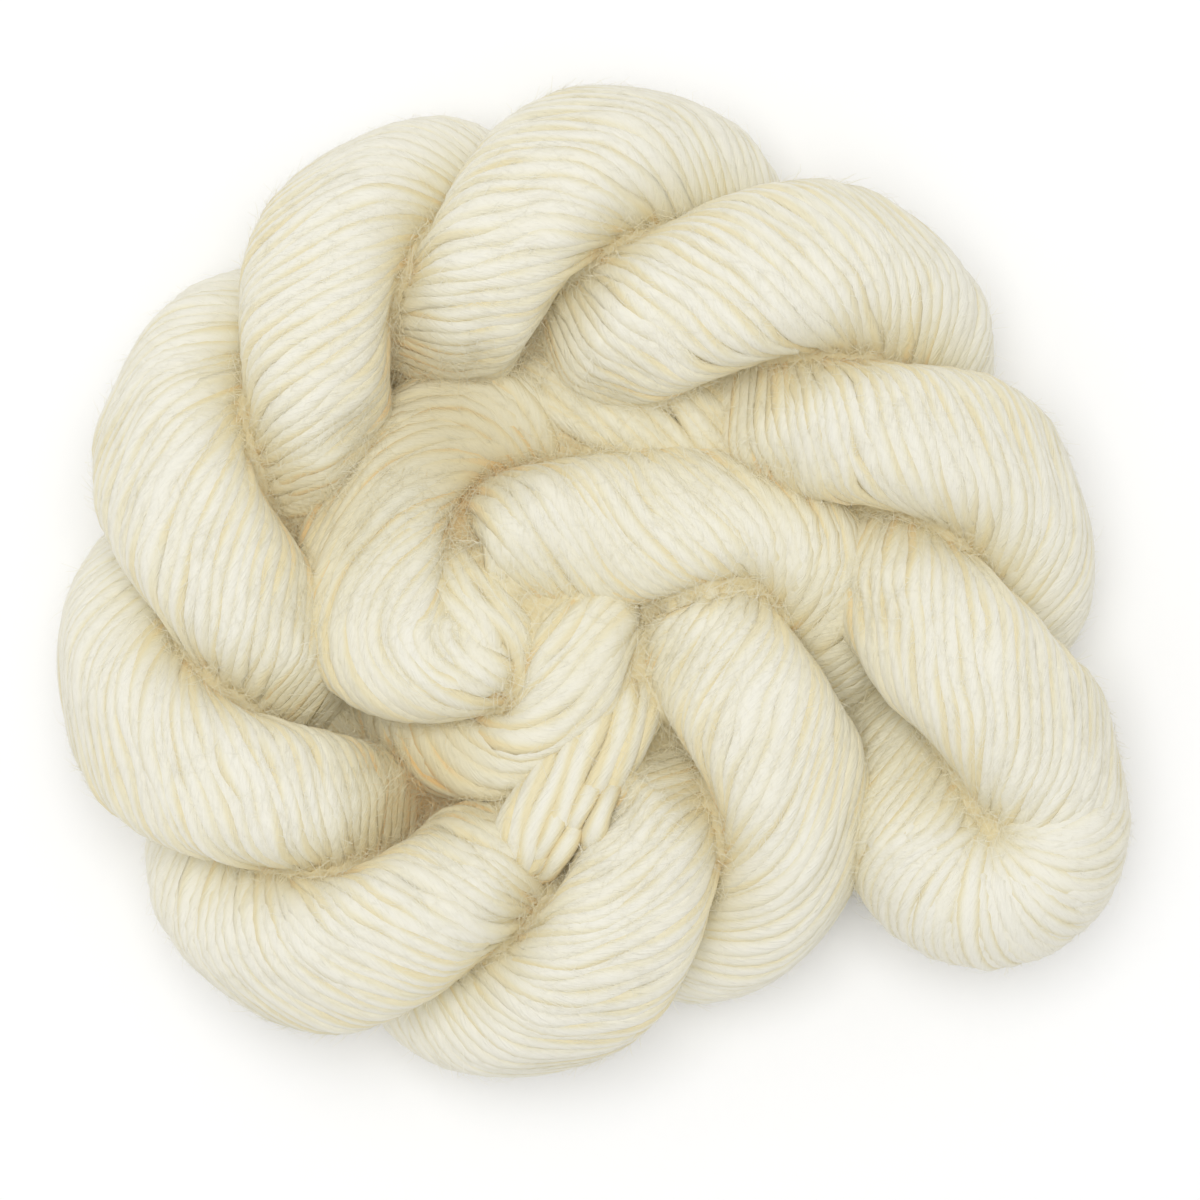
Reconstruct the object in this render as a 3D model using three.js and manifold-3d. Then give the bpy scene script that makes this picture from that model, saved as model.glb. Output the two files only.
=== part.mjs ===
// Mini skein of yarn.
// A hank of single-ply wool is doubled, twisted into a rope of two plies and coiled flat.
// It is one solid: both plies along their spiral, joined, with a flat underside to rest on.
// Millimetres, +Z up. The origin is the middle of the footprint, on the surface below.
import * as THREE from 'three';
import { LoftGeometry } from 'three/addons/geometries/LoftGeometry.js';
import { mergeVertices } from 'three/addons/utils/BufferGeometryUtils.js';
import Module from 'manifold-3d';

// A ply's section is an oval that lies against the other ply, on the rope's axis.
const PLY_HALF_WIDTH = 10.4; // round the rope
const PLY_HALF_THICKNESS = 7.5; // out from the rope's axis
const PLY_OFFSET = 6.9; // from the rope's axis to the middle of the ply
const SETTLED = 0.85; // the rope's height, pressed down by its own weight, as a share of its width
const CROWDED_FROM = 0.55; // inside a bend, of the way to its centre
const CROWDED_TO = 0.92;
const FLAT_DEPTH = 1.2; // how much of the underside is pressed flat on the surface

const SECTION_SIDES = 14;
const SECTIONS_PER_ROW = 5;
const SECTIONS_PER_LENGTH = 13; // short enough that no length meets itself
const END_TURN_STEPS = 6; // sections round the outer end, where one ply becomes the other
const END_TURN_INSIDE = 0.2; // the turn's smallest radius
const PLUG = 0.95; // how large a length starts, inside the one that it carries on
const PLUG_DEPTH = 0.3; // how far in that is, in sections
const STAGGER = 0.5; // in sections, and in sides of a section

// The rope's axis, from its outer end to its inner end. halfTurns counts how often the plies
// have changed sides: at a whole number they lie side by side. girth is the rope's thickness
// as a share of the full one, and lift raises it off the surface.
const ROPE = [
  { x: 40.0, y: -24.8, halfTurns: 0, girth: 1.02, lift: 0 },
  { x: 38.0, y: -11.0, halfTurns: 0.4, girth: 1.02, lift: 0 },
  { x: 36.2, y: 4.6, halfTurns: 1, girth: 1.0, lift: 0 },
  { x: 24.5, y: 22.9, halfTurns: 2, girth: 1.12, lift: 0 },
  { x: 2.5, y: 34.2, halfTurns: 3, girth: 1.13, lift: 0 },
  { x: -18.7, y: 32.0, halfTurns: 4, girth: 1, lift: 1 },
  { x: -35.2, y: 15.6, halfTurns: 5, girth: 1, lift: 0 },
  { x: -39.9, y: -8.9, halfTurns: 6, girth: 1.02, lift: 0 },
  { x: -29.4, y: -29.6, halfTurns: 7, girth: 1.03, lift: 0 },
  { x: -8.0, y: -36.0, halfTurns: 8, girth: 1, lift: 0 },
  { x: 12.9, y: -26.7, halfTurns: 9, girth: 0.98, lift: 0 },
  { x: 17.2, y: -1.0, halfTurns: 10, girth: 0.92, lift: 1 },
  { x: 3.4, y: 5.6, halfTurns: 10.5, girth: 0.84, lift: 1.5 },
  { x: -12.4, y: 9.6, halfTurns: 11, girth: 0.92, lift: 1 },
  { x: -19.4, y: -5.0, halfTurns: 11.42, girth: 0.88, lift: 1 },
  { x: -9.2, y: -12.6, halfTurns: 12, girth: 0.7, lift: 5.5 },
  { x: 5.2, y: -5.4, halfTurns: 13, girth: 0.67, lift: 4.4 },
];

// The ends of the hank's loops are tucked in at the middle: one bundle lies low, under the
// rope's inner end, and a slim one comes out over it.
const TUCKED_UNDER = [
  { x: -29.0, y: -12.6, z: 6.0, halfWidth: 4.6 },
  { x: -19.2, y: -20.0, z: 5.5, halfWidth: 6.0 },
  { x: -9.6, y: -21.6, z: 6.0, halfWidth: 6.6 },
  { x: 0.7, y: -17.6, z: 6.0, halfWidth: 6.4 },
  { x: 8.8, y: -11.0, z: 6.0, halfWidth: 5.0 },
];
const LOOP_END = [
  { x: -8.3, y: -28.2, z: 16.5, halfWidth: 1.4 },
  { x: -6.4, y: -26.2, z: 16.5, halfWidth: 4.2 },
  { x: -1.6, y: -21.0, z: 16.0, halfWidth: 4.6 },
  { x: 5.0, y: -12.4, z: 14.0, halfWidth: 4.4 },
];
// Slack strands fill the middle, the hollow under the inner turn, and the one outside it.
const MIDDLE = [
  { x: -17.0, y: 6.5, z: 11.0, halfWidth: 3.6 },
  { x: -14.2, y: -1.0, z: 15.0, halfWidth: 5.6 },
  { x: -10.6, y: -8.0, z: 15.0, halfWidth: 6.0 },
  { x: -10.0, y: -14.0, z: 12.0, halfWidth: 3.4 },
];
const UNDER_THE_TURN = [
  { x: 13.0, y: 4.0, z: 10.0, halfWidth: 4.6 },
  { x: 12.0, y: -2.0, z: 14.0, halfWidth: 5.4 },
  { x: 13.0, y: -9.0, z: 11.5, halfWidth: 5.0 },
];
const BETWEEN_TURNS = [
  { x: -9.6, y: 20.4, z: 9.0, halfWidth: 5.6 },
  { x: 0.7, y: 18.3, z: 11.5, halfWidth: 6.6 },
  { x: 10.9, y: 14.6, z: 12.0, halfWidth: 7.0 },
  { x: 20.1, y: 9.4, z: 11.0, halfWidth: 6.4 },
  { x: 26.2, y: 2.3, z: 8.0, halfWidth: 4.4 },
];
const BUNDLE_THICKNESS = 0.75; // of its width
const BUNDLE_STEPS = 9;

const SECTION_COUNT = (ROPE.length - 1) * SECTIONS_PER_ROW;
const UP = new THREE.Vector3(0, 0, 1);
const SAME_POINT = 1e-4;
const SAME_EDGE = 0.01; // joins and cuts drop edges shorter than this
const SLAB = 200; // the block that cuts the underside flat

const axis = new THREE.CatmullRomCurve3(
  ROPE.map((row) => new THREE.Vector3(row.x, row.y, row.lift)),
  false,
  'catmullrom',
);
const twist = new THREE.CatmullRomCurve3(
  ROPE.map((row) => new THREE.Vector3(row.halfTurns, row.girth, 0)),
  false,
  'catmullrom',
);

function headingAt(t) {
  return axis.getTangent(THREE.MathUtils.clamp(t, 0, 1)).setZ(0).normalize();
}

// How sharply the rope bends to its inner side at t: one over the bend's radius, taken over the
// sections on both sides.
function bendAt(t) {
  const from = Math.max(t - 1 / SECTION_COUNT, 0);
  const to = Math.min(t + 1 / SECTION_COUNT, 1);
  const turn = new THREE.Vector3().crossVectors(headingAt(from), headingAt(to)).z;
  return Math.asin(turn) / axis.getPoint(from).distanceTo(axis.getPoint(to));
}

// Strands on the inside of a bend crowd together and stop short of its centre.
function crowded(reach, bend) {
  const share = reach * bend;
  if (share <= CROWDED_FROM) return reach;
  const room = CROWDED_TO - CROWDED_FROM;
  return (CROWDED_FROM + room * Math.tanh((share - CROWDED_FROM) / room)) / bend;
}

// The rope at t, from 0 at its outer end to 1 at its inner end.
function ropeAt(t) {
  const centre = axis.getPoint(t);
  const { x: halfTurns, y: girth } = twist.getPoint(t);
  centre.z += (PLY_OFFSET + PLY_HALF_THICKNESS) * SETTLED * girth - FLAT_DEPTH;
  return {
    centre,
    inward: new THREE.Vector3().crossVectors(UP, headingAt(t)),
    bend: bendAt(t),
    girth,
    angle: Math.PI * (1 - halfTurns),
  };
}

// A ply's section, where the rope is. The ply's middle stands at `angle` round the rope's axis,
// from `sideways` towards up. The section's points keep their directions as the ply goes round.
function plySection(rope, sideways, angle, stagger, sideLimit = Infinity) {
  const section = [];
  for (let i = 0; i < SECTION_SIDES; i++) {
    const round = ((i + stagger) / SECTION_SIDES) * 2 * Math.PI - angle;
    const out = PLY_OFFSET + PLY_HALF_THICKNESS * Math.cos(round);
    const across = PLY_HALF_WIDTH * Math.sin(round);
    const side = (out * Math.cos(angle) - across * Math.sin(angle)) * rope.girth;
    const height = (out * Math.sin(angle) + across * Math.cos(angle)) * rope.girth;
    section.push(
      rope.centre
        .clone()
        .addScaledVector(sideways, crowded(Math.min(side, sideLimit), rope.bend))
        .addScaledVector(UP, height * SETTLED),
    );
  }
  return section;
}

// A slimmer copy of a section, for a length to start with inside the one that it carries on.
function plugOf(section) {
  const middle = new THREE.Vector3();
  for (const point of section) middle.addScaledVector(point, 1 / section.length);
  return section.map((point) => point.clone().lerp(middle, 1 - PLUG));
}

// The sections of one ply, from the outer end to the inner end. With a stagger, no section or
// point of this ply falls on one of the other's.
function plySections(startAngle, stagger) {
  const sections = [];
  for (let i = 0; i <= SECTION_COUNT + 2 * stagger; i++) {
    const step = THREE.MathUtils.clamp(i - stagger, 0, SECTION_COUNT);
    const rope = ropeAt(step / SECTION_COUNT);
    sections.push(plySection(rope, rope.inward, rope.angle + startAngle, stagger));
  }
  return sections;
}

// Round the outer end the second ply turns back and becomes the first.
function endTurnSections() {
  const inside = ropeAt(PLUG_DEPTH / SECTION_COUNT);
  const rope = ropeAt(0);
  const sections = [plugOf(plySection(inside, inside.inward.clone().negate(), Math.PI, 0))];
  for (let i = 0; i < END_TURN_STEPS; i++) {
    const turned = ((i + 0.5) / END_TURN_STEPS) * Math.PI;
    const sideways = rope.inward.clone().applyAxisAngle(UP, turned + Math.PI);
    sections.push(plySection(rope, sideways, Math.PI, 0, -END_TURN_INSIDE));
  }
  return sections;
}

// A plain bundle of strands with an oval section, along the rows of a table.
function bundleSections(rows) {
  const path = new THREE.CatmullRomCurve3(rows.map((row) => new THREE.Vector3(row.x, row.y, row.z)));
  const width = new THREE.CatmullRomCurve3(
    rows.map((row, i) => new THREE.Vector3(i, row.halfWidth, 0)),
    false,
    'catmullrom',
  );
  const sections = [];
  for (let i = 0; i <= BUNDLE_STEPS; i++) {
    const t = i / BUNDLE_STEPS;
    const centre = path.getPoint(t);
    const forward = path.getTangent(t).setZ(0).normalize();
    const sideways = new THREE.Vector3().crossVectors(UP, forward);
    const halfWidth = width.getPoint(t).y;
    const section = [];
    for (let j = 0; j < SECTION_SIDES; j++) {
      const round = (j / SECTION_SIDES) * 2 * Math.PI;
      section.push(
        centre
          .clone()
          .addScaledVector(sideways, halfWidth * Math.cos(round))
          .addScaledVector(UP, halfWidth * BUNDLE_THICKNESS * Math.sin(round)),
      );
    }
    sections.push(section);
  }
  return sections;
}

const wasm = await Module();
wasm.setup();

function solidOf(geometry) {
  const bare = new THREE.BufferGeometry();
  bare.setAttribute('position', geometry.attributes.position);
  bare.setIndex(geometry.index);
  const merged = mergeVertices(bare, SAME_POINT);
  return new wasm.Manifold(
    new wasm.Mesh({
      numProp: 3,
      vertProperties: new Float32Array(merged.attributes.position.array),
      triVerts: new Uint32Array(merged.index.array),
      tolerance: SAME_EDGE,
    }),
  );
}

// Joins a run of sections as lengths, so that none meets itself.
function joinedLengths(sections) {
  const lengths = [];
  for (let start = 0; start + 1 < sections.length; start += SECTIONS_PER_LENGTH) {
    const run = sections.slice(start, start + SECTIONS_PER_LENGTH + 1);
    if (start > 0) run.unshift(plugOf(sections[start - 1]));
    lengths.push(solidOf(new LoftGeometry(run, { capStart: true, capEnd: true })));
  }
  return lengths.reduce((whole, length) => whole.add(length));
}

const below = solidOf(new THREE.BoxGeometry(SLAB, SLAB, SLAB).translate(0, 0, -SLAB / 2));
const joined = [
  [...endTurnSections(), ...plySections(0, 0)],
  plySections(Math.PI, STAGGER),
  bundleSections(TUCKED_UNDER),
  bundleSections(LOOP_END),
  bundleSections(MIDDLE),
  bundleSections(UNDER_THE_TURN),
  bundleSections(BETWEEN_TURNS),
]
  .map(joinedLengths)
  .reduce((whole, piece) => whole.add(piece))
  .subtract(below);

// Pinhole hollows between the plies come out as shells of their own, and only the skein is kept.
const skein = joined.decompose().reduce((a, b) => (a.volume() > b.volume() ? a : b));
const { vertProperties, triVerts } = skein.getMesh();

const geometry = new THREE.BufferGeometry();
geometry.setAttribute('position', new THREE.BufferAttribute(vertProperties, 3));
geometry.setIndex(new THREE.BufferAttribute(triVerts, 1));
geometry.computeVertexNormals();

const wool = new THREE.MeshStandardMaterial({ color: 0xf3ecd2, roughness: 0.95, metalness: 0 });
const mesh = new THREE.Mesh(geometry, wool);
mesh.name = 'skein';

const part = new THREE.Group();
part.add(mesh);

export default part;
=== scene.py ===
# %% [markdown]
# # A mini skein of wool
#
# A hank of yarn is a big loop of many strands. Twisted hard and folded in half, it winds round
# itself into a fat rope of two plies, and this one is then coiled flat like a snail. This
# notebook builds it strand by strand, because the strands are what the eye sees first.
#
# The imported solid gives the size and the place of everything. It is a smooth, closed form, and
# each cell below puts a part of the real surface in its place.

# %% The frame
import itertools
import math

import bpy
import numpy as np
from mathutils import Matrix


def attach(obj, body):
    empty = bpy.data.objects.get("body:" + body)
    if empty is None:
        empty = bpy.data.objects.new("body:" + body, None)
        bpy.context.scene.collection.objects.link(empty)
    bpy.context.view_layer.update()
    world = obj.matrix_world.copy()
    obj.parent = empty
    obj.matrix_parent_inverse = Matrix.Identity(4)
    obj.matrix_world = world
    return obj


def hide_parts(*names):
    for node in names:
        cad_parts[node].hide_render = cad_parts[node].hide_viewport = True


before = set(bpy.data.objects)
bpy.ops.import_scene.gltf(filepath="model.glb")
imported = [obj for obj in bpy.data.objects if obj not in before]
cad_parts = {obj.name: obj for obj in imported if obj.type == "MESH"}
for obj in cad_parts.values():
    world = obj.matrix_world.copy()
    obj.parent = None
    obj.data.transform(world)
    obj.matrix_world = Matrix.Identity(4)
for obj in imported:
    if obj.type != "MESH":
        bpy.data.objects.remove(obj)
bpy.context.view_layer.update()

MM = 0.001  # the scene is in metres, and this notebook counts in mm
SEED = 20  # always the same, so that each run gives the same skein
random = np.random.default_rng(SEED)

# %% [markdown]
# ## The rope's path
#
# The real rope was coiled by hand, so its path is no exact spiral. A short table says where its
# axis passes, in mm, how often the two plies have changed sides by then, how thick the rope is,
# how far it is lifted, and how far a strand goes round its ply while the plies change sides once.
# A smooth curve through the rows gives every point between them. A Blender curve object could do
# the same, but the strands need numbers that they can share, so a small function is clearer.

# %% The table of the path
ROPE = np.array([
    # x, y, half turns, girth, lift, strand twist
    (40, -24.8, 0, 1.02, 0, 2.95),
    (38, -11, 0.4, 1.02, 0, 1.65),
    (36.2, 4.6, 1, 1, 0, 1.75),
    (24.5, 22.9, 2, 1.12, 0, 1.9),
    (2.5, 34.2, 3, 1.13, 0, 1.7),
    (-18.7, 32, 4, 1, 1, 1.65),
    (-35.2, 15.6, 5, 1, 0, 1.8),
    (-39.9, -8.9, 6, 1.02, 0, 1.75),
    (-29.4, -29.6, 7, 1.03, 0, 1.95),
    (-8, -36, 8, 1, 0, 1.9),
    (12.9, -26.7, 9, 0.98, 0, 1.45),
    (17.2, -1, 10, 0.92, 1, 2.4),
    (3.4, 5.6, 10.5, 0.84, 1.5, 2.8),
    (-12.4, 9.6, 11, 0.92, 1, 2.6),
    (-19.4, -5, 11.42, 0.88, 1, 2),
    (-9.2, -12.6, 12, 0.7, 5.5, 1.65),
    (5.2, -5.4, 13, 0.67, 4.4, 1.05),
])
X, Y, HALF_TURNS, GIRTH, LIFT, STRAND_TWIST = range(6)
print("The two plies change sides", round(ROPE[-1, HALF_TURNS]), "times")


# %% A smooth curve through a table
def along_rows(rows, t):
    """The Catmull-Rom curve through the rows of a table, at t from 0 at the first row to 1 at
    the last. Between two rows, it also looks at the one before and the one after."""
    before = 2 * rows[0] - rows[1]
    after = 2 * rows[-1] - rows[-2]
    padded = np.vstack([before, rows, after])
    place = np.clip(t, 0, 1) * (len(rows) - 1)
    row = np.minimum(place.astype(int), len(rows) - 2)
    f = (place - row)[:, None]
    a, b, c, d = (padded[row + k] for k in range(4))
    return b + 0.5 * f * (c - a + f * (2 * a - 5 * b + 4 * c - d + f * (3 * b - a - 3 * c + d)))


# %% The rope's length
SAMPLES = 2000
fine_t = np.linspace(0, 1, SAMPLES)
fine_rows = along_rows(ROPE, fine_t)
steps = np.linalg.norm(np.diff(fine_rows[:, :2], axis=0), axis=1)
distance = np.concatenate([[0], np.cumsum(steps)])
print("The rope is", round(distance[-1]), "mm long")

# %% [markdown]
# ## Stations along the hank
#
# Each strand of the hank runs the length of one ply, turns back round the rope's looped end, and
# runs the length of the other ply. So the whole hank is one long tube, folded in half and wound
# round itself. A station is one place along that tube: where the rope's axis is, which way is
# sideways, and at what angle the ply stands round the axis. On the inside of a bend the strands
# crowd together, and `crowded` keeps them short of the bend's centre.

# %% Sizes of the rope
PLY_HALF_WIDTH = 10.4  # round the rope, in mm where its girth is 1
PLY_HALF_THICKNESS = 7.5
PLY_OFFSET = 6.9  # from the rope's axis to the ply's middle
SETTLED = 0.85  # the rope's height as it lies, as a share of a round rope's
FLAT_DEPTH = 1.2  # how much of the rope's underside the table presses flat, in mm
print("A ply is an oval of", 2 * PLY_HALF_WIDTH, "x", 2 * PLY_HALF_THICKNESS, "mm")

# %% The inside of a bend
CROWDED_FROM, CROWDED_TO = 0.55, 0.92  # shares of the way from the rope's axis to the bend's centre
STRAIGHT = 1e-6  # the least bend that is divided by, in 1/mm


def crowded(reach, bend):
    """How far sideways a point comes that would reach this far. bend is 1 over the radius."""
    share = reach * bend
    room = CROWDED_TO - CROWDED_FROM
    safe = np.where(np.abs(bend) < STRAIGHT, STRAIGHT, bend)
    short = (CROWDED_FROM + room * np.tanh((share - CROWDED_FROM) / room)) / safe
    return np.where(share > CROWDED_FROM, short, reach)


print("Where the radius is 15 mm, a reach of 14 mm becomes", crowded(14, 1 / 15).round(1), "mm")

# %% How far a strand has gone round its ply
turned = np.diff(fine_rows[:, HALF_TURNS]) * fine_rows[1:, STRAND_TWIST]
twisted = np.concatenate([[0], np.cumsum(turned)])
print("A strand goes round its ply by", round(twisted[-1], 1), "half turns")

# %% Stations along the rope
SECTIONS = 80  # along the rope; a bend is measured from one section before to one after
TINY_STEP = 1e-4  # along the rope, to find its heading
RINGS_PER_PLY = 300


def unit(vectors):
    return vectors / np.maximum(np.linalg.norm(vectors, axis=-1, keepdims=True), 1e-9)


def heading(t):
    """Which way the rope runs at each t, seen from above."""
    ahead, behind = np.minimum(t + TINY_STEP, 1), np.maximum(t - TINY_STEP, 0)
    return unit((along_rows(ROPE, ahead) - along_rows(ROPE, behind))[:, :2])


def rope_stations(t):
    """What the plies need to know of the rope, at each t along it. bend is 1 over the radius."""
    rows = along_rows(ROPE, t)
    before, after = np.maximum(t - 1 / SECTIONS, 0), np.minimum(t + 1 / SECTIONS, 1)
    h0, h1 = heading(before), heading(after)
    turn = np.arcsin(np.clip(h0[:, 0] * h1[:, 1] - h0[:, 1] * h1[:, 0], -1, 1))
    chord = np.linalg.norm(along_rows(ROPE, after)[:, :2] - along_rows(ROPE, before)[:, :2], axis=1)
    forward = heading(t)
    girth = rows[:, GIRTH]
    height = rows[:, LIFT] + (PLY_OFFSET + PLY_HALF_THICKNESS) * SETTLED * girth - FLAT_DEPTH
    return {
        "centre": np.column_stack([rows[:, X], rows[:, Y], height]),
        "sideways": np.column_stack([-forward[:, 1], forward[:, 0], np.zeros(len(t))]),
        "bend": turn / chord,
        "girth": girth,
        "half_turns": rows[:, HALF_TURNS],
        "twisted": np.interp(t, fine_t, twisted),
        "limit": np.full(len(t), np.inf),
    }


even_t = np.interp(np.linspace(0, distance[-1], RINGS_PER_PLY), distance, fine_t)
rope = rope_stations(even_t)
print("The tightest bend has a radius of", round(1 / np.abs(rope["bend"]).max(), 1), "mm")

# %% The turn at the looped end
RINGS_ROUND_END = 60
END_TURN_INSIDE = 0.2  # how near the rope's axis the turn's inner side comes, in mm
END_TWIST = 3.4  # half turns of a strand round the hank where it turns back
END_EASE = 0.3  # how much slower that is where the turn starts and ends

u = (np.arange(RINGS_ROUND_END) + 0.5) / RINGS_ROUND_END
facing = np.arctan2(rope["sideways"][0, 1], rope["sideways"][0, 0]) + math.pi * (u + 1)
turning = {
    "centre": np.repeat(rope["centre"][:1], RINGS_ROUND_END, axis=0),
    "sideways": np.column_stack([np.cos(facing), np.sin(facing), 0 * u]),
    "bend": np.full(RINGS_ROUND_END, rope["bend"][0]),
    "girth": np.full(RINGS_ROUND_END, rope["girth"][0]),
    "limit": np.full(RINGS_ROUND_END, -END_TURN_INSIDE),
    "angle": np.full(RINGS_ROUND_END, math.pi),
    "mirror": np.ones(RINGS_ROUND_END),
    "phase": END_TWIST * (math.pi * u - END_EASE / 2 * np.sin(2 * math.pi * u)),
}
print(RINGS_ROUND_END, "stations round the looped end")

# %% One ply, the turn and the other ply in one
first = {
    **rope,
    "angle": math.pi * (1 - rope["half_turns"]),
    "mirror": np.ones(RINGS_PER_PLY),
    "phase": math.pi * (END_TWIST + rope["twisted"]),
}
back = {name: values[::-1] for name, values in rope.items()}
second = {
    **back,
    "angle": math.pi * (2 - back["half_turns"]),
    "mirror": np.full(RINGS_PER_PLY, -1.0),
    "phase": -math.pi * back["twisted"],
}
COLUMNS = ("centre", "sideways", "bend", "girth", "limit", "angle", "mirror", "phase")
hank = {name: np.concatenate([part[name] for part in (second, turning, first)]) for name in COLUMNS}
RINGS = len(hank["bend"])
print(RINGS, "stations along the hank")

# %% From a station to the surface of the ply
UP = np.array([0, 0, 1.0])


def on_ply(around, inflate):
    """Points at angles around the ply's oval, one row of `around` for each station. inflate is
    in mm, out from the oval."""
    h = {name: values[:, None] for name, values in hank.items() if values.ndim == 1}
    inflate = inflate / h["girth"]
    out = PLY_OFFSET + (PLY_HALF_THICKNESS + inflate) * np.cos(around)
    across = h["mirror"] * (PLY_HALF_WIDTH + inflate) * np.sin(around)
    side = (out * np.cos(h["angle"]) - across * np.sin(h["angle"])) * h["girth"]
    height = (out * np.sin(h["angle"]) + across * np.cos(h["angle"])) * h["girth"] * SETTLED
    side = crowded(np.minimum(side, h["limit"]), h["bend"])
    return (
        hank["centre"][:, None, :]
        + hank["sideways"][:, None, :] * side[..., None]
        + UP * height[..., None]
    )


middle = on_ply(np.zeros((RINGS, 1)), -PLY_HALF_THICKNESS)[:, 0]
travelled = np.concatenate([[0], np.cumsum(np.linalg.norm(np.diff(middle, axis=0), axis=1))])
print("The doubled hank is", round(travelled[-1]), "mm long")

# %% [markdown]
# ## Tucked-in ends and slack strands
#
# At the middle, the ends of the hank's loops are tucked in: a broad bundle lies low under the
# rope's inner end, and a slim one comes out over it. Slack strands lie low in the hollows
# between the turns. Each bundle is strands round an oval, like a ply, on a path of its own.

# %% Tables for the bundles
BUNDLES = {
    # x, y, z, half width, for each place along a bundle
    "tucked_under": [
        (-29.0, -12.6, 6.0, 4.6),
        (-19.2, -20.0, 5.5, 6.0),
        (-9.6, -21.6, 6.0, 6.6),
        (0.7, -17.6, 6.0, 6.4),
        (8.8, -11.0, 6.0, 5.0),
    ],
    "middle": [
        (-17.0, 6.5, 11.0, 3.6),
        (-14.2, -1.0, 15.0, 5.6),
        (-10.6, -8.0, 15.0, 6.0),
        (-10.0, -14.0, 12.0, 3.4),
    ],
    "under_the_turn": [
        (13.0, 4.0, 10.0, 4.6),
        (12.0, -2.0, 14.0, 5.4),
        (13.0, -9.0, 11.5, 5.0),
    ],
    "between_turns": [
        (-9.6, 20.4, 9.0, 5.6),
        (0.7, 18.3, 11.5, 6.6),
        (10.9, 14.6, 12.0, 7.0),
        (20.1, 9.4, 11.0, 6.4),
        (26.2, 2.3, 8.0, 4.4),
    ],
    "loop_end": [
        (-8.6, -29.0, 16.5, 1.6),
        (-6.4, -25.6, 17.2, 3.8),
        (-1.6, -19.6, 17.2, 4.3),
        (3.4, -12.4, 15.0, 3.8),
        (5.4, -7.6, 10.5, 2.4),
    ],
}
print(len(BUNDLES), "bundles:", ", ".join(BUNDLES))

# %% Points round a bundle
BUNDLE_THICKNESS = 0.75  # as a share of its width


def on_bundle(name, t, angle, inflate):
    """Points at angles round a bundle's oval, at each t along it, and the way out from them."""
    places = along_rows(np.array(BUNDLES[name]), t)
    forward = unit(np.gradient(places[:, :2], axis=0))
    side = np.column_stack([-forward[:, 1], forward[:, 0], 0 * t])
    flat = side * np.cos(angle)[..., None] + UP * np.sin(angle)[..., None] * BUNDLE_THICKNESS
    return places[:, :3] + flat * (places[:, 3] + inflate)[..., None], unit(flat)


# %% [markdown]
# ## Where wool lies close to wool
#
# Light that gets out of a seam between two plies has gone through a lot of wool, and each fibre
# takes a little of its blue away. So cream wool turns golden where wool lies close to wool. A
# renderer finds only a part of this, because it knows nothing of the fibres inside the strands.
# The rest is painted into the colour as a darker, golden tone in the seams and hollows, which is
# partly that warm light and partly painted shade. It is worked out here: the hank is filled with
# points, the points are counted into small cubes, and the count is blurred. On a flat surface
# half of the nearby space is wool. On a round shoulder it is less, and down in a seam it is
# nearly all wool. The map with a small blur finds the seams, and the one with a large blur finds
# the hollows.

# %% Space in small cubes, filled with wool
CUBE = 1.0  # mm
LOW_CORNER = np.array([-64.0, -60.0, -8.0])
CUBES = (128, 120, 44)
FULL_CIRCLE = 2 * math.pi
OUTERMOST, LAYER = 0.4, 0.7  # mm, the first layer's depth and the distance between layers
ROUND_A_PLY = 72  # points
ALONG_A_BUNDLE = 80


def layers(half_thickness):
    """How deep the points lie, from just below the surface to the middle."""
    return np.arange(OUTERMOST, half_thickness, LAYER)


def filled_with_wool():
    grid = np.zeros(CUBES)
    round_it = np.linspace(0, FULL_CIRCLE, ROUND_A_PLY, endpoint=False)
    t = np.linspace(0, 1, ALONG_A_BUNDLE)
    every_ring = round_it + np.zeros((RINGS, 1))
    filling = [on_ply(every_ring, -depth) for depth in layers(PLY_HALF_THICKNESS)]
    for name, places in BUNDLES.items():
        for depth in layers(max(half_width for _, _, _, half_width in places)):
            filling.append(on_bundle(name, t, round_it[:, None] + 0 * t, -depth)[0])
    for points in filling:
        cells = ((points.reshape(-1, 3) - LOW_CORNER) / CUBE).astype(int)
        grid[tuple(cells.T)] = 1
    return grid


wool_cubes = filled_with_wool()
print("Wool fills", round(wool_cubes.sum() * CUBE**3 / 1000), "ml")

# %% Blurred maps of the wool
NEARBY = 2.2  # mm, the small blur
WIDER = 8.0  # mm, the large one


def blurred(grid, reach):
    """A three-dimensional grid, blurred by a soft bell that is `reach` cubes wide. In the grid's
    Fourier transform, a blur is a plain product."""
    waves_in_it = np.fft.rfftn(grid)
    for axis, count in enumerate(grid.shape):
        pitch = np.fft.rfftfreq(count) if axis == 2 else np.fft.fftfreq(count)
        fading = np.exp(-2 * (math.pi * pitch * reach) ** 2)
        waves_in_it *= np.expand_dims(fading, tuple(k for k in range(3) if k != axis))
    return np.fft.irfftn(waves_in_it, grid.shape)


seam_map = blurred(wool_cubes, NEARBY / CUBE)
hollow_map = blurred(wool_cubes, WIDER / CUBE)
print("The blurred maps reach up to", seam_map.max().round(2), "and", hollow_map.max().round(2))


# %% Looking up a map
def wool_near(points, wool_map):
    """The share of the space near each point that is wool, from 0 to about 1."""
    place = (points - LOW_CORNER) / CUBE - 0.5
    cell = np.floor(place).astype(int)
    beyond = place - cell
    share = np.zeros(points.shape[:-1])
    for corner in itertools.product((0, 1), repeat=3):
        weight = np.prod(np.where(corner, beyond, 1 - beyond), axis=-1)
        at = np.clip(cell + corner, 0, np.array(CUBES) - 1)
        share += weight * wool_map[at[..., 0], at[..., 1], at[..., 2]]
    return share


surface = on_ply(np.linspace(0, FULL_CIRCLE, ROUND_A_PLY) + np.zeros((RINGS, 1)), 0)
print("On the plies' surface, the share of wool is", wool_near(surface, seam_map).mean().round(2))
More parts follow.
